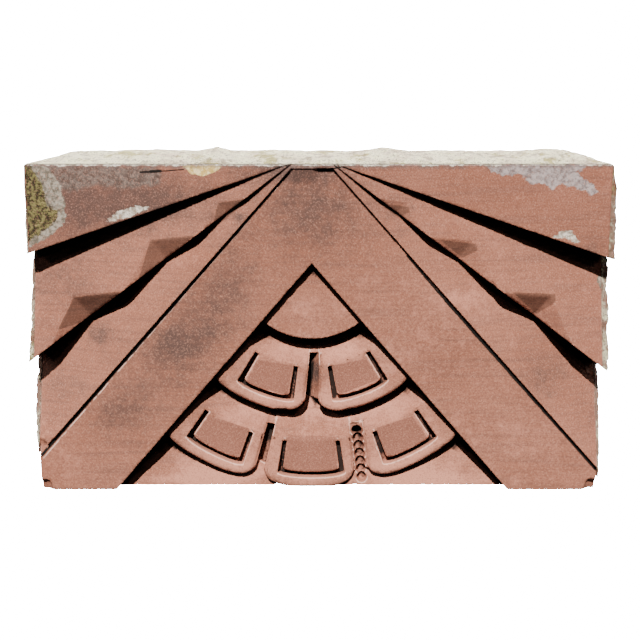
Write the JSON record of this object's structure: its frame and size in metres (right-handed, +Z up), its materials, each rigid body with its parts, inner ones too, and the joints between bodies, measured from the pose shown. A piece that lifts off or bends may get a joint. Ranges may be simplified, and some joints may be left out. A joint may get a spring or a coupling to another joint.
{
  "type": "arch keystone",
  "caption": "Carved sandstone keystone with fanned rays, an inverted V band and a field of tilted scales, with old mortar on its bed and joints.",
  "frame": {"origin": "centre of the stone's flat bottom bed, on which it stands", "axes": "+Z up, +X along the stone's length to the right of someone who faces the carving, -Y out of the carved face"},
  "size_m": [0.8217, 0.18, 0.4868],
  "materials": {
    "sandstone": "fine-grained pink red sandstone, tooled and weathered",
    "lime_mortar": "rough cream lime mortar"
  },
  "bodies": {
    "root": {"carved_keystone": "sandstone", "top_bed_mortar": "lime_mortar", "left_joint_mortar": "lime_mortar", "right_joint_mortar": "lime_mortar"}
  },
  "joints": []
}
